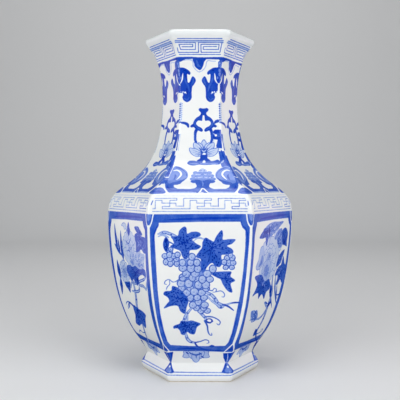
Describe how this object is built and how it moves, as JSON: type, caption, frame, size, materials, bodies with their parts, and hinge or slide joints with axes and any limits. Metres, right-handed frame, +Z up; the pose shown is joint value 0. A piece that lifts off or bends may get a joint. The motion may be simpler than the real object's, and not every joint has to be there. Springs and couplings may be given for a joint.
{
  "type": "hexagonal vase",
  "caption": "Tall six-sided porcelain vase: flared mouth, slim neck, swelling belly and spreading foot, painted all over in blue under a clear glaze.",
  "frame": {"origin": "centre of the base, on the surface that the foot stands on", "axes": "+Z up along the vase's axis, a flat side faces -Y, corners of the hexagon lie along +X and -X"},
  "size_m": [0.2024, 0.1752, 0.36],
  "materials": {
    "painted_glaze": "glossy",
    "clear_glaze": "glossy",
    "glazed_slip": "glossy"
  },
  "bodies": {
    "root": {"lip_ring": "clear_glaze", "neck_wall_front": "painted_glaze", "neck_wall_front_right": "painted_glaze", "neck_wall_back_right": "painted_glaze", "neck_wall_back": "painted_glaze", "neck_wall_back_left": "painted_glaze", "neck_wall_front_left": "painted_glaze", "belly_wall_front": "painted_glaze", "belly_wall_front_right": "painted_glaze", "belly_wall_back_right": "painted_glaze", "belly_wall_back": "painted_glaze", "belly_wall_back_left": "painted_glaze", "belly_wall_front_left": "painted_glaze", "foot_wall_front": "painted_glaze", "foot_wall_front_right": "painted_glaze", "foot_wall_back_right": "painted_glaze", "foot_wall_back": "painted_glaze", "foot_wall_back_left": "painted_glaze", "foot_wall_front_left": "painted_glaze", "floor_plate": "clear_glaze", "shoulder_slip_bead": "glazed_slip", "floor_slip_bead": "glazed_slip", "neck_corner_slip": "glazed_slip", "belly_corner_slip": "glazed_slip"}
  },
  "joints": []
}
